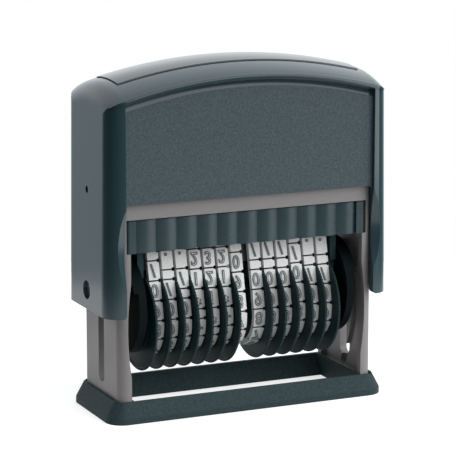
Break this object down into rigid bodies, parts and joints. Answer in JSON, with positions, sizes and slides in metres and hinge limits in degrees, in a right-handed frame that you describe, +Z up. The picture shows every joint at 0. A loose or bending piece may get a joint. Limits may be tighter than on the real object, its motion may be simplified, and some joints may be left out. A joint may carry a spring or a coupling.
{
  "type": "numbering machine",
  "caption": "Self-inking numbering stamp: a sliding cap turns a band print unit over from the ink pad to the table; each rubber band is set by its own serrated thumb wheel.",
  "frame": {"origin": "middle of the foot's underside, on the surface that the machine stands on", "axes": "+Z up, +X along the row of bands to the right as seen from the front, -Y towards the front"},
  "size_m": [0.078, 0.0308, 0.0892],
  "materials": {
    "foot_plastic": "satin moulded",
    "frame_plastic": "satin moulded, warm grey",
    "cap_plastic": "polished, with matt panels",
    "card": "dark card",
    "cover_plastic": "polished",
    "spring_steel": "drawn wire",
    "grip_plastic": "satin moulded, dark slate",
    "pad_felt": "inked felt",
    "unit_plastic": "moulded",
    "pin_steel": "turned",
    "wheel_plastic": "moulded, serrated rims",
    "band_rubber": "pale matt rubber with raised figures"
  },
  "bodies": {
    "stand": {"base_foot": "foot_plastic", "lower_frame": "frame_plastic", "return_spring_left": "spring_steel", "return_spring_right": "spring_steel"},
    "cap": {"cap_shell": "cap_plastic", "index_card": "card"},
    "index_cover": {"index_cover": "cover_plastic"},
    "print_unit": {"platen": "unit_plastic", "side_arm_left": "unit_plastic", "side_arm_right": "unit_plastic", "pivot_axle_left": "pin_steel", "pivot_axle_right": "pin_steel", "guide_pin_left": "pin_steel", "guide_pin_right": "pin_steel", "wheel_shaft": "pin_steel", "shaft_spacer": "unit_plastic", "number_band_1": "band_rubber", "number_band_2": "band_rubber", "number_band_3": "band_rubber", "number_band_4": "band_rubber", "number_band_5": "band_rubber", "number_band_6": "band_rubber", "number_band_7": "band_rubber", "number_band_8": "band_rubber", "number_band_9": "band_rubber", "number_band_10": "band_rubber", "number_band_11": "band_rubber", "number_band_12": "band_rubber", "number_band_13": "band_rubber"},
    "cartridge": {"ink_cartridge": "grip_plastic", "ink_pad": "pad_felt"},
    "wheel_1": {"thumb_wheel_1": "wheel_plastic"},
    "wheel_2": {"thumb_wheel_2": "wheel_plastic"},
    "wheel_3": {"thumb_wheel_3": "wheel_plastic"},
    "wheel_4": {"thumb_wheel_4": "wheel_plastic"},
    "wheel_5": {"thumb_wheel_5": "wheel_plastic"},
    "wheel_6": {"thumb_wheel_6": "wheel_plastic"},
    "wheel_7": {"thumb_wheel_7": "wheel_plastic"},
    "wheel_8": {"thumb_wheel_8": "wheel_plastic"},
    "wheel_9": {"thumb_wheel_9": "wheel_plastic"},
    "wheel_10": {"thumb_wheel_10": "wheel_plastic"},
    "wheel_11": {"thumb_wheel_11": "wheel_plastic"},
    "wheel_12": {"thumb_wheel_12": "wheel_plastic"},
    "wheel_13": {"thumb_wheel_13": "wheel_plastic"}
  },
  "joints": [
    {"name": "cap_press", "type": "slide", "parent": "stand", "child": "cap", "axis": [0, 0, -1], "range_m": [0, 0.0195], "stiffness_N_per_m": 400, "springref_m": -0.01, "deforming": ["return_spring_left", "return_spring_right"]},
    {"name": "unit_flip", "type": "hinge", "parent": "cap", "child": "print_unit", "pos_m": [0, 0, 0.032], "axis": [1, 0, 0], "range_deg": [0, 180]},
    {"name": "cartridge_slide", "type": "slide", "parent": "stand", "child": "cartridge", "axis": [0, 1, 0], "range_m": [-0.024, 0]},
    {"name": "cover_lift", "type": "slide", "parent": "cap", "child": "index_cover", "axis": [0, 0, 1], "range_m": [0, 0.006]},
    {"name": "wheel_1_turn", "type": "hinge", "parent": "print_unit", "child": "wheel_1", "pos_m": [0, 0, 0.0232], "axis": [1, 0, 0], "continuous": true},
    {"name": "wheel_2_turn", "type": "hinge", "parent": "print_unit", "child": "wheel_2", "pos_m": [0, 0, 0.0232], "axis": [1, 0, 0], "continuous": true},
    {"name": "wheel_3_turn", "type": "hinge", "parent": "print_unit", "child": "wheel_3", "pos_m": [0, 0, 0.0232], "axis": [1, 0, 0], "continuous": true},
    {"name": "wheel_4_turn", "type": "hinge", "parent": "print_unit", "child": "wheel_4", "pos_m": [0, 0, 0.0232], "axis": [1, 0, 0], "continuous": true},
    {"name": "wheel_5_turn", "type": "hinge", "parent": "print_unit", "child": "wheel_5", "pos_m": [0, 0, 0.0232], "axis": [1, 0, 0], "continuous": true},
    {"name": "wheel_6_turn", "type": "hinge", "parent": "print_unit", "child": "wheel_6", "pos_m": [0, 0, 0.0232], "axis": [1, 0, 0], "continuous": true},
    {"name": "wheel_7_turn", "type": "hinge", "parent": "print_unit", "child": "wheel_7", "pos_m": [0, 0, 0.0232], "axis": [1, 0, 0], "continuous": true},
    {"name": "wheel_8_turn", "type": "hinge", "parent": "print_unit", "child": "wheel_8", "pos_m": [0, 0, 0.0232], "axis": [1, 0, 0], "continuous": true},
    {"name": "wheel_9_turn", "type": "hinge", "parent": "print_unit", "child": "wheel_9", "pos_m": [0, 0, 0.0232], "axis": [1, 0, 0], "continuous": true},
    {"name": "wheel_10_turn", "type": "hinge", "parent": "print_unit", "child": "wheel_10", "pos_m": [0, 0, 0.0232], "axis": [1, 0, 0], "continuous": true},
    {"name": "wheel_11_turn", "type": "hinge", "parent": "print_unit", "child": "wheel_11", "pos_m": [0, 0, 0.0232], "axis": [1, 0, 0], "continuous": true},
    {"name": "wheel_12_turn", "type": "hinge", "parent": "print_unit", "child": "wheel_12", "pos_m": [0, 0, 0.0232], "axis": [1, 0, 0], "continuous": true},
    {"name": "wheel_13_turn", "type": "hinge", "parent": "print_unit", "child": "wheel_13", "pos_m": [0, 0, 0.0232], "axis": [1, 0, 0], "continuous": true}
  ],
  "couplings": [
    {"joint": "unit_flip", "follows": "cap_press", "rad_per_m": 161.1}
  ]
}
